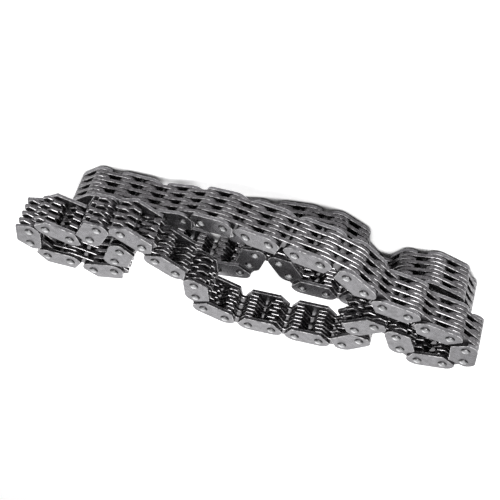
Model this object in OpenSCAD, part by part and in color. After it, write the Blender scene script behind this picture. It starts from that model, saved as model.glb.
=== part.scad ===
// Silent (inverted-tooth) chain, an open length laid up in two layers.
// Millimetres, +Z up, Z = 0 is the floor the heap lies on.

/* [Chain] */
// distance between neighbouring pins
pitch = 9.525; // [9.3:0.025:9.8]
// number of sections, each an outer row, its pins and the inner row that follows
sections = 42; // [42:1:42]

/* [Plates] */
// thickness of every plate
plate_t = 1.3; // [1.1:0.05:1.35]
// free space between two plates that lie face to face
plate_gap = 0.2; // [0.2:0.05:0.3]
// radius of the plate's ends about the pin, and height of its back above the pin line
end_r = 4.4; // [4.2:0.05:4.45]
// distance from the pin's middle to the tooth flank
flank_reach = 3.57; // [3.4:0.05:3.7]
// lean of the outer tooth flank
flank_angle = 30; // [28:1:31]
// height of the tooth tips from the pin line
tooth_h = 5.3; // [5:0.1:5.5]
// height of the toothless edge of a guide plate from the pin line
guide_h = 5.4; // [5:0.1:5.6]
// radius at the bottom of the gap between the two teeth
crotch_r = 1.2; // [1:0.1:1.4]
// height of that radius from the pin line
crotch_h = 1.6; // [1.4:0.1:2]
// lean of the inner tooth flank
crotch_angle = 24; // [20:1:26]

/* [Pins] */
// diameter of the pin
pin_d = 2.8; // [2.6:0.1:2.9]
// room between pin and link plate bore, on the radius
link_clearance = 0.2; // [0.2:0.05:0.3]
// room between pin and guide plate bore, on the radius
guide_clearance = 0.02; // [0.01:0.01:0.03]
// diameter of the riveted head
head_d = 3.6; // [3.4:0.1:4]
// height of the riveted head above the guide plate
head_h = 0.9; // [0.7:0.05:0.95]

/* [Heap] */
// where the first pin lies, counted in pitches from the middle of the heap
start_x = 4.809; // [4.8:0.001:4.82]
// the same along Y
start_y = -0.677; // [-0.69:0.001:-0.67]
// heading of the first row
start_heading = 70; // [69:1:71]
// tilt that each pin on the way down adds
ramp_step = 1.9; // [1.8:0.05:1.9]

/* [Hidden] */
$fn = 48;
// heading of the way down
ramp_heading = 5;
// first row of the way down, and how many rows it has
ramp_first = 36;
ramp_rows = 14;
// rows of plates in the whole length
rows = 2 * sections - 1;
// turn at each pin, a turn to the left closes the toothed side
TURNS = [
    10, -60, -35, 15, -55, -45, -45, -55, 45, 40, -55, -50, -25, 25, -5, -45,
    15, 50, 20, 10, -5, 5, 10, 35, 55, -60, -70, -50, 35, 55, 30, 50,
    40, 30, -30, 35, -35, 0, 30, 20, 0, 10, -5, 10, 10, -5, -15, -5,
    0, 40, 45, 45, 30, -5, 5, 10, 5, 15, 50, 10, -85, -55, 10, 55,
    0, 0, 0, 0, 25, 45, 45, 40, 40, 45, -60, -55, -30, 50, 35, 10,
    5, 5];
// from one plate to the next across the chain
plate_step = plate_t + plate_gap;
// outer face of the guide plates from the middle of the chain
face = 4 * plate_step + plate_t / 2;
// underside of a riveted head, and its highest point, from the middle of the chain
under = face + guide_clearance;
crown = under + head_h;
// radius of the ball that a riveted head is cut from
dome_r = (head_d * head_d / 4 + head_h * head_h) / (2 * head_h);
// longer than any plate
reach = 4 * pitch;

// heading of row i, seen in its own plane from the way down's heading
HEADS = [for (i = 0, a = start_heading - ramp_heading; i < rows; a = a + (i < rows - 1 ? TURNS[i] : 0),
    i = i + 1) a];

// tilt of row i: none on the two levels, most in the middle of the way down
function tilt(i) = let (k = i - ramp_first)
    k < 0 || k >= ramp_rows ? 0 : -ramp_step * min(k + 1, ramp_rows - k);

// one row's length in the directions along and across the way down, and up
function run(i) = pitch * [cos(HEADS[i]) * cos(tilt(i)), sin(HEADS[i]), cos(HEADS[i]) * sin(tilt(i))];

// the same, turned to the heap's own X and Y
function turned(v) = [
    v[0] * cos(ramp_heading) - v[1] * sin(ramp_heading),
    v[0] * sin(ramp_heading) + v[1] * cos(ramp_heading),
    v[2]];

// height between the two levels
DROPS = [for (i = 0, d = 0; i <= rows; d = d - (i < rows ? run(i)[2] : 0), i = i + 1) d];
drop = DROPS[rows];

// middle of every pin
PINS = [for (i = 0, p = [start_x * pitch, start_y * pitch, crown + drop]; i <= rows;
    p = p + (i < rows ? turned(run(i)) : [0, 0, 0]), i = i + 1) p];

function two(n) = n < 10 ? str("0", n) : str(n);

// puts a row, drawn from its first pin along +X, in its place
module at_row(i) {
    translate(PINS[i])
        rotate([0, 0, ramp_heading])
            rotate([0, -tilt(i), 0])
                rotate([0, 0, HEADS[i]])
                    children();
}

// plate outline with its two leaning flanks, teeth towards +Y
module blank(h) {
    difference() {
        union() {
            circle(r = end_r);
            translate([pitch, 0])
                circle(r = end_r);
            translate([0, -end_r])
                square([pitch, end_r]);
            translate([-end_r, 0])
                square([pitch + 2 * end_r, h]);
        }
        translate([pitch, 0])
            rotate(flank_angle)
                translate([flank_reach, -reach / 2])
                    square([reach, reach]);
        mirror([1, 0])
            rotate(flank_angle)
                translate([flank_reach, -reach / 2])
                    square([reach, reach]);
    }
}

// gap between the two teeth of a link plate
module crotch() {
    top = tooth_h + 1;
    foot_x = crotch_r * cos(crotch_angle);
    foot_y = crotch_h - crotch_r * sin(crotch_angle);
    top_x = (crotch_r + (top - crotch_h) * sin(crotch_angle)) / cos(crotch_angle);
    translate([pitch / 2, 0]) {
        translate([0, crotch_h])
            circle(r = crotch_r);
        polygon([[-foot_x, foot_y], [foot_x, foot_y], [top_x, top], [-top_x, top]]);
    }
}

module bores(r) {
    circle(r = r);
    translate([pitch, 0])
        circle(r = r);
}

// one plate on level n, counted from the middle of the chain
module on_level(n) {
    translate([0, 0, n * plate_step - plate_t / 2])
        linear_extrude(plate_t)
            children();
}

module link_plate(n) {
    color([0.36, 0.36, 0.37])
        on_level(n)
            difference() {
                blank(tooth_h);
                crotch();
                bores(pin_d / 2 + link_clearance);
            }
}

module guide_plate(n) {
    color([0.44, 0.44, 0.45])
        on_level(n)
            difference() {
                blank(guide_h);
                bores(pin_d / 2 + guide_clearance);
            }
}

// domed end of a pin
module head() {
    intersection() {
        translate([0, 0, under + head_h - dome_r])
            sphere(r = dome_r);
        translate([0, 0, under])
            cylinder(r = head_d / 2 + 1, h = head_h + 1);
    }
}

// pin riveted over at both ends
module pin() {
    color([0.55, 0.55, 0.56])
        union() {
            translate([0, 0, -under])
                cylinder(r = pin_d / 2, h = 2 * under);
            head();
            mirror([0, 0, 1])
                head();
        }
}

// outer row: two guide plates, three link plates and both pins
module outer_row() {
    for (n = [-4, 4])
        guide_plate(n);
    for (n = [-2, 0, 2])
        link_plate(n);
    pin();
    translate([pitch, 0, 0])
        pin();
}

// inner row: four link plates that turn on the pins of the outer rows
module inner_row() {
    for (n = [-3, -1, 1, 3])
        link_plate(n);
}

// section k: an outer row and, but for the last one, the inner row behind it
module section(k) {
    at_row(2 * k)
        outer_row();
    if (k < sections - 1)
        at_row(2 * k + 1)
            inner_row();
}

for (k = [0 : sections - 1])
    section(k);
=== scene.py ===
import math

import bmesh
import bpy
from mathutils import Matrix, Vector


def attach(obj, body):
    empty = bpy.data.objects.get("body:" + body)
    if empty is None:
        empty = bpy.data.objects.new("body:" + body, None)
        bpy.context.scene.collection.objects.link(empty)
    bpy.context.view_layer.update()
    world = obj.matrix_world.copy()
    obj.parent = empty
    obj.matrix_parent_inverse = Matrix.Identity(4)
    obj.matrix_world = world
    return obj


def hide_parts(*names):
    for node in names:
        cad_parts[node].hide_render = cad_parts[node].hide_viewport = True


bl_info = {
    "name": "Silent Chain",
    "version": (1, 0, 0),
    "blender": (4, 5, 0),
    "location": "View3D > Sidebar > Silent Chain",
    "description": "Builds an inverted-tooth chain that lies in a heap on two levels",
    "category": "Add Mesh",
}

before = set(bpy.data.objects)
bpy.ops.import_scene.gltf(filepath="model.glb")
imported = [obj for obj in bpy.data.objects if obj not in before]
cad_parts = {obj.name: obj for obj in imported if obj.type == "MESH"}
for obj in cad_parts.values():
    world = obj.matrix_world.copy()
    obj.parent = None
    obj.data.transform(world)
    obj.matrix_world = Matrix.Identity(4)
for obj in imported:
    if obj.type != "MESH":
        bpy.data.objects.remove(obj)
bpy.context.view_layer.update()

MM = 0.001
# each section is an outer row with its two pins and the inner row behind it, which the last one lacks
SECTIONS = 42
ROWS = 2 * SECTIONS - 1
# pitch in millimetres, and where the first pin lies, in pitches
PITCH = 9.525
START = (4.809, -0.677)
# heading of the first row, and the turn at each pin after it, in degrees: a turn to the left closes the
# toothed side
START_HEADING = 70
TURNS = (
    10, -60, -35, 15, -55, -45, -45, -55, 45, 40, -55, -50, -25, 25, -5, -45,
    15, 50, 20, 10, -5, 5, 10, 35, 55, -60, -70, -50, 35, 55, 30, 50,
    40, 30, -30, 35, -35, 0, 30, 20, 0, 10, -5, 10, 10, -5, -15, -5,
    0, 40, 45, 45, 30, -5, 5, 10, 5, 15, 50, 10, -85, -55, 10, 55,
    0, 0, 0, 0, 25, 45, 45, 40, 40, 45, -60, -55, -30, 50, 35, 10,
    5, 5,
)
# heading in which the way down falls, in degrees, its first row and its number of rows
RAMP_HEADING = 5
RAMP_FIRST = 36
RAMP_ROWS = 14
# levels of the plates across the chain, counted from its middle
GUIDE_LEVELS = (-4, 4)
OUTER_LEVELS = (-2, 0, 2)
INNER_LEVELS = (-3, -1, 1, 3)

# steps along each round end of a plate, along half of each bore and across the broken edge
GUIDE_STEPS = (8, 8, 2)
LINK_STEPS = (4, 4, 1)
CROTCH_STEPS = 4
# sides of a pin, and steps from the crown of its head to the rim
PIN_SIDES = 24
DOME_STEPS = 5
# points closer than this, in metres, are at one place
SAME_PLACE = 0.0001 * MM
# an edge that ends within this many radii of a bore's centre belongs to the bore
BORE_REACH = 1.01
# faces that turn by more than this, in radians, meet at a corner
CORNER_TURN = 1.0
# faces are shaded as one round surface where they turn by less than this, in radians, and their normals
# differ by less than the slope along Z, as a plate is round in its outline only
ROUND_TURN = 0.6
PLATE_SLOPE = 0.05
PIN_SLOPE = 1.0

# attributes that mark the worn edges of the plates and the painted shade on the rims of the pin heads
WEAR = "wear"
PAINTED_SHADE = "painted_shade"
# where the painted shade starts on a pin's head, and the width in which it darkens, in radii of the head
PAINTED_SHADE_START = 0.6
PAINTED_SHADE_WIDTH = 0.3
# patterns in the steel, in cells for each metre, with their levels of detail
CLOUD_SCALE = 420
CLOUD_DETAIL = 5
CLOUD_ROUGHNESS = 0.72
GRAIN_SCALE = 2600
GRAIN_DETAIL = 3
CHIPS_SCALE = 700
CHIPS_DETAIL = 4
# the part of each pattern's range that is used
CLOUD_SPAN = (0.4, 0.6)
GRAIN_SPAN = (0.3, 0.7)
CHIPS_SPAN = (0.4, 0.6)
# how bright the least worn parts of an edge are, as a share of the most worn
LEAST_WORN = 0.15
# what the grain takes from the roughness or adds to it, and what wear adds
GRAIN_SMOOTHS = 0.08
GRAIN_ROUGHENS = 0.1
WEAR_ROUGHENS = 0.2
GRAIN_STRENGTH = 0.12
GRAIN_DEPTH = 0.1 * MM
METALLIC = 0.9
# a colour mix's sockets, which share their names with those for other data
MIX_FACTOR = 0
MIX_FIRST = 6
MIX_SECOND = 7
MIX_RESULT = 2

# half the side of the square floor, in metres
FLOOR_REACH = 6.0
# rays with which the floor finds what is close above it, and how open it is where its shadow is deepest
# and where it ends
SHADOW_SAMPLES = 16
SHADOW_SPAN = (0.2, 0.6)
# where the lamps stand, their widths and depths, and the point that they shine at, in metres
KEY_AT = (-0.06, -0.3, 0.55)
KEY_SIZE = (0.62, 0.3)
BACK_AT = (0.1, 0.6, 0.32)
BACK_SIZE = (0.5, 0.5)
LIT_POINT = (0, 0, 0.015)
# the photo's camera: where it stands, its heading, its dip and its roll in degrees
CAMERA_AT = (-52.2 * MM, -320.4 * MM, 176.6 * MM)
CAMERA_AZIMUTH = -9.412
CAMERA_DIP = 26.629
CAMERA_ROLL = 18.038
# its focal length and sensor in millimetres, and the nearest thing that it sees in metres
CAMERA_LENS = 69.784
CAMERA_SENSOR = 36
CAMERA_NEAR = 0.01


def length(name, description, default_mm):
    return bpy.props.FloatProperty(
        name=name,
        description=description,
        default=default_mm * MM,
        precision=6,
        unit="LENGTH",
    )


def shade(name, description, default):
    return bpy.props.FloatVectorProperty(
        name=name,
        description=description,
        default=default,
        size=3,
        min=0,
        max=1,
        subtype="COLOR",
    )


def share(name, description, default):
    return bpy.props.FloatProperty(
        name=name,
        description=description,
        default=default,
        min=0,
        max=1,
        subtype="FACTOR",
    )


def angle(name, description, default_deg):
    return bpy.props.FloatProperty(
        name=name,
        description=description,
        default=math.radians(default_deg),
        subtype="ANGLE",
    )


def power(name, description, default):
    return bpy.props.FloatProperty(
        name=name,
        description=description,
        default=default,
        min=0,
        unit="POWER",
    )


class ChainSizes(bpy.types.PropertyGroup):
    pitch: length("Pitch", "Distance between neighbouring pins", PITCH)
    plate_t: length("Plate thickness", "Thickness of every plate", 1.3)
    plate_gap: length("Plate gap", "Room between plates that lie face to face", 0.2)
    end_r: length("End radius", "Radius of a plate's ends and height of its back", 4.4)
    flank_reach: length("Flank reach", "From the pin to the outer tooth flank", 3.57)
    flank_angle: angle("Flank angle", "Lean of the outer tooth flank", 30)
    tooth_h: length("Tooth height", "From the pin line to the tooth tips", 5.3)
    guide_h: length("Guide height", "From the pin line to a guide plate's toothless edge", 5.4)
    crotch_r: length("Crotch radius", "Radius at the bottom of the gap between the teeth", 1.2)
    crotch_h: length("Crotch height", "From the pin line to the centre of that radius", 1.6)
    crotch_angle: angle("Crotch angle", "Lean of the inner tooth flank", 24)
    pin_d: length("Pin diameter", "Diameter of the pin", 2.8)
    link_clearance: length("Link clearance", "Room round the pin in a link plate", 0.2)
    guide_clearance: length("Guide clearance", "Room that a guide plate has round the pin and its head", 0.02)
    head_d: length("Head diameter", "Diameter of the riveted head", 3.6)
    head_h: length("Head height", "Height of the riveted head", 0.9)
    edge: length("Edge", "Width of the broken edge round a plate", 0.18)
    start_x: length("Start X", "Where the first pin lies along X", START[0] * PITCH)
    start_y: length("Start Y", "Where the first pin lies along Y", START[1] * PITCH)
    ramp_step: angle("Ramp step", "Tilt that each pin on the way down adds or takes back", 1.9)


class ChainLook(bpy.types.PropertyGroup):
    guide: shade("Guide plates", "Colour of the guide plates", (0.155, 0.151, 0.16))
    link: shade("Link plates", "Colour of the toothed plates", (0.105, 0.1, 0.106))
    pin: shade("Pins", "Colour of the riveted pins", (0.5, 0.5, 0.51))
    # this colour is also the painted shade round the rims of the pin heads
    stain_and_shade: shade("Stain", "Colour of the oily film on the steel", (0.02, 0.019, 0.02))
    worn: shade("Worn edges", "Colour of the bright, worn edges of the plates", (0.66, 0.65, 0.66))
    rough: share("Roughness", "Roughness of the plates", 0.28)
    pin_rough: share("Pin roughness", "Roughness of the pins", 0.22)
    guide_film: share("Guide film", "Strength of the oily film on the guide plates", 0.45)
    link_film: share("Link film", "Strength of the oily film on the toothed plates", 0.55)
    pin_film: share("Pin film", "Strength of the oily film on the pins", 0.3)


class StageLook(bpy.types.PropertyGroup):
    floor: shade("Floor", "Colour of the floor", (0.9, 0.9, 0.9))
    lift: share("Floor lift", "How far the open floor is brightened towards white", 0.88)
    contact: length("Contact shadow", "How close to the chain the floor stays dark", 5)
    sky: share("Sky", "Strength of the even light", 0.03)
    key: power("Key light", "Power of the lamp above the near side", 4.4)
    back: power("Back light", "Power of the wide lamp behind the heap", 0.8)


def sizes():
    return bpy.context.scene.chain_sizes


def look():
    return bpy.context.scene.chain_look


def plate_step(s):
    return s.plate_t + s.plate_gap


def face_z(s):
    """Outer face of the guide plates from the middle of the chain."""
    return max(GUIDE_LEVELS) * plate_step(s) + s.plate_t / 2


def tilt(s, row):
    """Lean of a row on the way down, which grows from pin to pin and then shrinks again."""
    k = row - RAMP_FIRST
    if k < 0 or k >= RAMP_ROWS:
        return 0.0
    return -s.ramp_step * min(k + 1, RAMP_ROWS - k)


def row_places(s):
    """The placing matrix of every row, drawn from its first pin along +X."""
    lay = Matrix.Rotation(math.radians(RAMP_HEADING), 4, "Z")
    heading = math.radians(START_HEADING - RAMP_HEADING)
    at = Vector((s.start_x, s.start_y, 0.0))
    turned = []
    spots = []
    for row in range(ROWS):
        lean = Matrix.Rotation(-tilt(s, row), 4, "Y")
        turn = lay @ lean @ Matrix.Rotation(heading, 4, "Z")
        turned.append(turn)
        spots.append(at.copy())
        at = at + turn.to_3x3() @ Vector((s.pitch, 0, 0))
        if row < ROWS - 1:
            heading += math.radians(TURNS[row])
    rise = face_z(s) + s.guide_clearance + s.head_h - at.z
    return [Matrix.Translation(p + Vector((0, 0, rise))) @ t for p, t in zip(spots, turned)]


def across(s, row_place, levels):
    """Where the plates of one row lie, at those levels across the chain."""
    return [row_place @ Matrix.Translation((0, 0, n * plate_step(s))) for n in levels]


def arc(cx, cy, r, a0, a1, steps):
    """Points on a circle from angle a0 to a1, both included, in degrees."""
    out = []
    for i in range(steps + 1):
        a = math.radians(a0 + (a1 - a0) * i / steps)
        out.append((cx + r * math.cos(a), cy + r * math.sin(a)))
    return out


def finished_mesh(bm, name):
    mesh = bpy.data.meshes.new(name)
    bm.to_mesh(mesh)
    bm.free()
    return mesh


def round_off(bm, slope_change):
    """Shades faces as one round surface where they turn a little and change their slope less than this."""
    bm.normal_update()
    for f in bm.faces:
        f.smooth = True
    for e in bm.edges:
        slopes = [f.normal.z for f in e.link_faces]
        gentle = e.calc_face_angle(math.pi) < ROUND_TURN
        e.smooth = gentle and max(slopes) - min(slopes) < slope_change


def crotch(s, h):
    """The gap between the teeth, from its right mouth round to its left one."""
    middle = s.pitch / 2
    c, n = math.cos(s.crotch_angle), math.sin(s.crotch_angle)
    mouth = (s.crotch_r + (h - s.crotch_h) * n) / c
    lean = math.degrees(s.crotch_angle)
    bottom = arc(middle, s.crotch_h, s.crotch_r, -lean, -180 + lean, CROTCH_STEPS)
    return [(middle + mouth, h)] + bottom + [(middle - mouth, h)]


def plate_outline(s, h, toothed, end_steps):
    """A plate's edge above the pin line, from right to left, and below it, from left to right."""
    c, n = math.cos(s.flank_angle), math.sin(s.flank_angle)
    foot = s.flank_reach / c
    tip = (s.flank_reach - h * n) / c
    upper = [(s.pitch + foot, 0.0), (s.pitch + tip, h)]
    if toothed:
        upper += crotch(s, h)
    upper += [(-tip, h), (-foot, 0.0)]
    # where the flank's line meets the round end on the back's side
    meet = -math.degrees(math.acos(s.flank_reach / s.end_r) - s.flank_angle)
    lower = arc(0, 0, s.end_r, 180 - meet, 270, end_steps)
    lower += arc(s.pitch, 0, s.end_r, -90, meet, end_steps)
    return upper, lower


def plate_face(bm, s, outline, bore_r, bore_steps):
    """A plate's lower face, in two parts that meet on the pin line and leave out the bores."""

    def verts(points):
        return [bm.verts.new((x, y, -s.plate_t / 2)) for x, y in points]

    up, low = (verts(points) for points in outline)
    right_top = verts(arc(s.pitch, 0, bore_r, 0, 180, bore_steps))
    right_low = verts(arc(s.pitch, 0, bore_r, 180, 360, bore_steps)[1:-1])
    left_top = verts(arc(0, 0, bore_r, 0, 180, bore_steps))
    left_low = verts(arc(0, 0, bore_r, 180, 360, bore_steps)[1:-1])
    bm.faces.new(up + left_top[::-1] + right_top[::-1])
    bm.faces.new(
        [up[-1]] + low + [up[0], right_top[0]] + right_low[::-1]
        + [right_top[-1], left_top[0]] + left_low[::-1] + [left_top[-1]]
    )


def plate_rim(bm, s, bore_r):
    """The sharp edges round both faces of a plate, without those of its bores."""

    def at_bore(v):
        return any((v.co.xy - Vector((x, 0))).length < bore_r * BORE_REACH for x in (0, s.pitch))

    rim = []
    for e in bm.edges:
        a, b = e.verts
        level = abs(a.co.z - b.co.z) < SAME_PLACE
        corner = len(e.link_faces) == 2 and e.calc_face_angle() > CORNER_TURN
        if level and corner and not at_bore(a) and not at_bore(b):
            rim.append(e)
    return rim


def plate_template(s, name, h, toothed, bore_r, end_steps, bore_steps, edge_steps):
    """A plate about its own middle plane, teeth towards +Y, as a mesh to copy."""
    bm = bmesh.new()
    wear = bm.faces.layers.float.new(WEAR)
    plate_face(bm, s, plate_outline(s, h, toothed, end_steps), bore_r, bore_steps)
    made = bmesh.ops.extrude_face_region(bm, geom=list(bm.faces))
    raised = [g for g in made["geom"] if isinstance(g, bmesh.types.BMVert)]
    bmesh.ops.translate(bm, verts=raised, vec=(0, 0, s.plate_t))
    bmesh.ops.recalc_face_normals(bm, faces=bm.faces)
    broken = bmesh.ops.bevel(
        bm, geom=plate_rim(bm, s, bore_r), offset=s.edge, segments=edge_steps, profile=0.5,
        affect="EDGES", material=-1,
    )
    for f in broken["faces"]:
        f[wear] = 1.0
    round_off(bm, PLATE_SLOPE)
    return finished_mesh(bm, name)


def pin_template(s, name):
    """A pin with its two domed heads, as one turned body about Z."""
    under = face_z(s) + s.guide_clearance
    dome_r = (s.head_d * s.head_d / 4 + s.head_h * s.head_h) / (2 * s.head_h)
    centre = under + s.head_h - dome_r
    full = math.acos((dome_r - s.head_h) / dome_r)
    profile = []
    for i in range(DOME_STEPS + 1):
        a = full * i / DOME_STEPS
        profile.append((dome_r * math.sin(a), centre + dome_r * math.cos(a)))
    profile.append((s.pin_d / 2, under))
    profile += [(r, -z) for r, z in reversed(profile)]
    bm = bmesh.new()
    painted_shade = bm.faces.layers.float.new(PAINTED_SHADE)
    line = [bm.verts.new((r, 0, z)) for r, z in profile]
    edges = [bm.edges.new((a, b)) for a, b in zip(line, line[1:])]
    bmesh.ops.spin(
        bm, geom=line + edges, cent=(0, 0, 0), axis=(0, 0, 1), angle=math.tau, steps=PIN_SIDES,
        use_merge=True,
    )
    bmesh.ops.remove_doubles(bm, verts=bm.verts, dist=SAME_PLACE)
    bmesh.ops.recalc_face_normals(bm, faces=bm.faces)
    # painted shade: faces darken from part way out on each head towards its rim, and so do the shank and the
    # heads' undersides
    for f in bm.faces:
        out = f.calc_center_median().xy.length / (s.head_d / 2)
        f[painted_shade] = min(1.0, max(0.0, (out - PAINTED_SHADE_START) / PAINTED_SHADE_WIDTH))
    round_off(bm, PIN_SLOPE)
    return finished_mesh(bm, name)


def section_name(k):
    return f"section_{k + 1:02d}"


def place(name, template, spots, material, k):
    """One object that holds the template at each of the spots and rides on section k."""
    bm = bmesh.new()
    for spot in spots:
        first = len(bm.verts)
        bm.from_mesh(template)
        bm.verts.ensure_lookup_table()
        bmesh.ops.transform(bm, matrix=spot, verts=bm.verts[first:])
    mesh = finished_mesh(bm, name)
    mesh.materials.append(material)
    piece = bpy.data.objects.new(name, mesh)
    bpy.context.scene.collection.objects.link(piece)
    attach(piece, section_name(k))
    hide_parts(section_name(k))


def noise(nodes, links, scale, detail):
    """A noise pattern on Object coordinates."""
    coords = nodes.new("ShaderNodeTexCoord")
    pattern = nodes.new("ShaderNodeTexNoise")
    pattern.inputs["Scale"].default_value = scale
    pattern.inputs["Detail"].default_value = detail
    links.new(coords.outputs["Object"], pattern.inputs["Vector"])
    return pattern


def marked(nodes, attribute):
    """The socket of an attribute that marks some of a piece's faces."""
    reader = nodes.new("ShaderNodeAttribute")
    reader.attribute_name = attribute
    return reader.outputs["Fac"]


def remap(nodes, links, value, span, to):
    """Carries a value from one span to another and holds it inside that."""
    scale = nodes.new("ShaderNodeMapRange")
    scale.inputs["From Min"].default_value, scale.inputs["From Max"].default_value = span
    scale.inputs["To Min"].default_value, scale.inputs["To Max"].default_value = to
    links.new(value, scale.inputs["Value"])
    return scale.outputs["Result"]


def calculate(nodes, links, operation, first, second):
    """The sum or product of two sockets, held between 0 and 1."""
    step = nodes.new("ShaderNodeMath")
    step.operation = operation
    step.use_clamp = True
    links.new(first, step.inputs[0])
    links.new(second, step.inputs[1])
    return step.outputs[0]


def colour_mix(nodes, links, factor, second):
    """A mix towards a plain second colour, whose first one is still to be given."""
    mix = nodes.new("ShaderNodeMix")
    mix.data_type = "RGBA"
    mix.inputs[MIX_SECOND].default_value = (*second, 1)
    links.new(factor, mix.inputs[MIX_FACTOR])
    return mix


def steel(v, name, colour, rough, film):
    """Satin steel with a cloudy oily film, fine grain, bright chipped edges and painted shade on pin heads.
    """
    mat = bpy.data.materials.new(name)
    mat.use_nodes = True
    nodes = mat.node_tree.nodes
    links = mat.node_tree.links
    shader = nodes["Principled BSDF"]
    shader.inputs["Metallic"].default_value = METALLIC
    cloud = noise(nodes, links, CLOUD_SCALE, CLOUD_DETAIL)
    cloud.inputs["Roughness"].default_value = CLOUD_ROUGHNESS
    grain = noise(nodes, links, GRAIN_SCALE, GRAIN_DETAIL)
    chips = noise(nodes, links, CHIPS_SCALE, CHIPS_DETAIL)

    film_and_shade = remap(nodes, links, cloud.outputs["Fac"], CLOUD_SPAN, (0, film))
    # painted shade round the rims of the pin heads is added to the oily film, and both darken towards the
    # stain colour
    film_and_shade = calculate(nodes, links, "ADD", film_and_shade, marked(nodes, PAINTED_SHADE))
    tint = colour_mix(nodes, links, film_and_shade, v.stain_and_shade)
    tint.inputs[MIX_FIRST].default_value = (*colour, 1)
    chipped = remap(nodes, links, chips.outputs["Fac"], CHIPS_SPAN, (LEAST_WORN, 1))
    rubbed = calculate(nodes, links, "MULTIPLY", marked(nodes, WEAR), chipped)
    bright = colour_mix(nodes, links, rubbed, v.worn)
    links.new(tint.outputs[MIX_RESULT], bright.inputs[MIX_FIRST])
    links.new(bright.outputs[MIX_RESULT], shader.inputs["Base Color"])

    satin = (rough - GRAIN_SMOOTHS, rough + GRAIN_ROUGHENS)
    dull = nodes.new("ShaderNodeMath")
    dull.operation = "MULTIPLY_ADD"
    dull.inputs[1].default_value = WEAR_ROUGHENS
    links.new(rubbed, dull.inputs[0])
    links.new(remap(nodes, links, grain.outputs["Fac"], GRAIN_SPAN, satin), dull.inputs[2])
    links.new(dull.outputs[0], shader.inputs["Roughness"])

    bump = nodes.new("ShaderNodeBump")
    bump.inputs["Strength"].default_value = GRAIN_STRENGTH
    bump.inputs["Distance"].default_value = GRAIN_DEPTH
    links.new(grain.outputs["Fac"], bump.inputs["Height"])
    links.new(bump.outputs["Normal"], shader.inputs["Normal"])
    return mat


class CHAIN_OT_guide_plates(bpy.types.Operator):
    """Toothless guide plates on both outer sides of the outer rows"""

    bl_idname = "chain.guide_plates"
    bl_label = "Guide plates"

    def execute(self, context):
        s = sizes()
        v = look()
        metal = steel(v, "guide_steel", v.guide, v.rough, v.guide_film)
        bore_r = s.pin_d / 2 + s.guide_clearance
        template = plate_template(s, "guide_plate", s.guide_h, False, bore_r, *GUIDE_STEPS)
        rows = row_places(s)
        for k in range(SECTIONS):
            spots = across(s, rows[2 * k], GUIDE_LEVELS)
            place(f"guide_plates_{k + 1:02d}", template, spots, metal, k)
        return {"FINISHED"}


class CHAIN_OT_link_plates(bpy.types.Operator):
    """Toothed link plates of the outer rows and of the inner rows between them"""

    bl_idname = "chain.link_plates"
    bl_label = "Link plates"

    def execute(self, context):
        s = sizes()
        v = look()
        metal = steel(v, "link_steel", v.link, v.rough, v.link_film)
        bore_r = s.pin_d / 2 + s.link_clearance
        template = plate_template(s, "link_plate", s.tooth_h, True, bore_r, *LINK_STEPS)
        for row, row_place in enumerate(row_places(s)):
            inner = row % 2 == 1
            kind = "inner_plates" if inner else "outer_plates"
            spots = across(s, row_place, INNER_LEVELS if inner else OUTER_LEVELS)
            k = row // 2
            place(f"{kind}_{k + 1:02d}", template, spots, metal, k)
        return {"FINISHED"}


class CHAIN_OT_pins(bpy.types.Operator):
    """Riveted pins with a domed head at both ends"""

    bl_idname = "chain.pins"
    bl_label = "Pins"

    def execute(self, context):
        s = sizes()
        v = look()
        metal = steel(v, "pin_steel", v.pin, v.pin_rough, v.pin_film)
        template = pin_template(s, "pin")
        rows = row_places(s)
        for k in range(SECTIONS):
            spots = [rows[2 * k] @ Matrix.Translation((x, 0, 0)) for x in (0, s.pitch)]
            place(f"pins_{k + 1:02d}", template, spots, metal, k)
        return {"FINISHED"}


def aim():
    """Where the camera stands and how it is turned. The photo hangs upside down, so its right and up point
    the other way."""
    a, e, r = (math.radians(x) for x in (CAMERA_AZIMUTH, CAMERA_DIP, CAMERA_ROLL))
    ahead = Vector((-math.sin(a) * math.cos(e), math.cos(a) * math.cos(e), -math.sin(e)))
    level = Vector((math.cos(a), math.sin(a), 0))
    upright = level.cross(ahead)
    right = math.cos(r) * level + math.sin(r) * upright
    up = -math.sin(r) * level + math.cos(r) * upright
    turn = Matrix((-right, -up, -ahead)).transposed().to_4x4()
    return Matrix.Translation(CAMERA_AT) @ turn


def lamp(name, at, size, watts):
    """An area lamp, given by its width and depth, that points at the middle of the heap."""
    data = bpy.data.lights.new(name, "AREA")
    data.shape = "RECTANGLE"
    data.size, data.size_y = size
    data.energy = watts
    obj = bpy.data.objects.new(name, data)
    obj.location = at
    obj.rotation_euler = (Vector(LIT_POINT) - Vector(at)).to_track_quat("-Z", "Y").to_euler()
    bpy.context.scene.collection.objects.link(obj)


def seen(nodes, links):
    """A socket that is 1 where a thing is seen, also in metal and glass, and 0 where it only gives light."""
    path = nodes.new("ShaderNodeLightPath")
    total = path.outputs["Is Camera Ray"]
    for ray in ("Is Glossy Ray", "Is Transmission Ray"):
        total = calculate(nodes, links, "ADD", total, path.outputs[ray])
    return total


def floor_white(v):
    """Pale matt floor that is seen brighter than it is lit, so that only the shadow shows on it."""
    mat = bpy.data.materials.new("floor_white")
    mat.use_nodes = True
    nodes = mat.node_tree.nodes
    links = mat.node_tree.links
    shader = nodes["Principled BSDF"]
    shader.inputs["Base Color"].default_value = (*v.floor, 1)
    shader.inputs["Roughness"].default_value = 1.0
    shader.inputs["Specular IOR Level"].default_value = 0.0
    shader.inputs["Emission Color"].default_value = (1, 1, 1, 1)
    near = nodes.new("ShaderNodeAmbientOcclusion")
    near.samples = SHADOW_SAMPLES
    near.inputs["Distance"].default_value = v.contact
    open_floor = remap(nodes, links, near.outputs["AO"], SHADOW_SPAN, (0, v.lift))
    lift = calculate(nodes, links, "MULTIPLY", seen(nodes, links), open_floor)
    links.new(lift, shader.inputs["Emission Strength"])
    return mat


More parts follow.
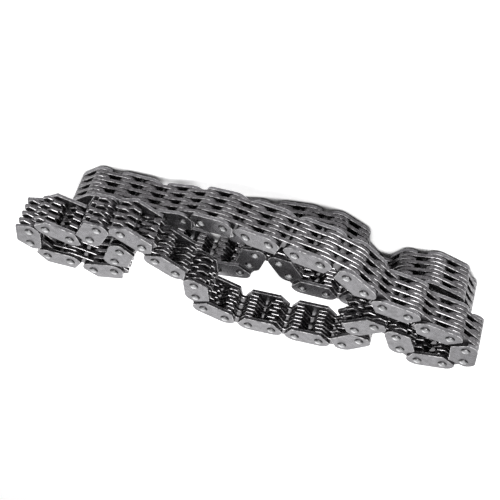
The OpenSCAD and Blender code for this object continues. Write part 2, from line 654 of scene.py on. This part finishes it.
def white_sky(v):
    """A sky that is seen as white and gives a weak, even light."""
    world = bpy.data.worlds.new("sky")
    world.use_nodes = True
    nodes = world.node_tree.nodes
    links = world.node_tree.links
    background = nodes["Background"]
    background.inputs["Color"].default_value = (1, 1, 1, 1)
    strength = remap(nodes, links, seen(nodes, links), (0, 1), (v.sky, 1))
    links.new(strength, background.inputs["Strength"])
    return world


class CHAIN_OT_stage(bpy.types.Operator):
    """Pale floor, even light, two lamps and the photo's camera"""

    bl_idname = "chain.stage"
    bl_label = "Stage"

    def execute(self, context):
        scene = context.scene
        v = scene.chain_stage
        bm = bmesh.new()
        bmesh.ops.create_grid(bm, x_segments=1, y_segments=1, size=FLOOR_REACH)
        mesh = finished_mesh(bm, "floor")
        mesh.materials.append(floor_white(v))
        floor = bpy.data.objects.new("floor", mesh)
        scene.collection.objects.link(floor)
        scene.world = white_sky(v)
        lamp("key", KEY_AT, KEY_SIZE, v.key)
        lamp("back", BACK_AT, BACK_SIZE, v.back)
        data = bpy.data.cameras.new("camera")
        data.lens = CAMERA_LENS
        data.sensor_width = CAMERA_SENSOR
        data.clip_start = CAMERA_NEAR
        camera = bpy.data.objects.new("camera", data)
        camera.matrix_world = aim()
        scene.collection.objects.link(camera)
        scene.camera = camera
        scene.view_settings.view_transform = "Standard"
        return {"FINISHED"}


class CHAIN_PT_panel(bpy.types.Panel):
    bl_idname = "CHAIN_PT_panel"
    bl_label = "Silent Chain"
    bl_space_type = "VIEW_3D"
    bl_region_type = "UI"
    bl_category = "Silent Chain"

    def draw(self, context):
        for group in (context.scene.chain_sizes, context.scene.chain_look, context.scene.chain_stage):
            box = self.layout.box()
            for key in group.__annotations__:
                box.prop(group, key)
        for op in OPERATORS:
            self.layout.operator(op.bl_idname)


OPERATORS = (CHAIN_OT_guide_plates, CHAIN_OT_link_plates, CHAIN_OT_pins, CHAIN_OT_stage)
CLASSES = (ChainSizes, ChainLook, StageLook) + OPERATORS + (CHAIN_PT_panel,)


def register():
    for cls in CLASSES:
        bpy.utils.register_class(cls)
    bpy.types.Scene.chain_sizes = bpy.props.PointerProperty(type=ChainSizes)
    bpy.types.Scene.chain_look = bpy.props.PointerProperty(type=ChainLook)
    bpy.types.Scene.chain_stage = bpy.props.PointerProperty(type=StageLook)


def unregister():
    del bpy.types.Scene.chain_stage
    del bpy.types.Scene.chain_look
    del bpy.types.Scene.chain_sizes
    for cls in reversed(CLASSES):
        bpy.utils.unregister_class(cls)


def main():
    register()
    bpy.ops.chain.guide_plates()
    bpy.ops.chain.link_plates()
    bpy.ops.chain.pins()
    bpy.ops.chain.stage()


if __name__ == "__main__":
    main()
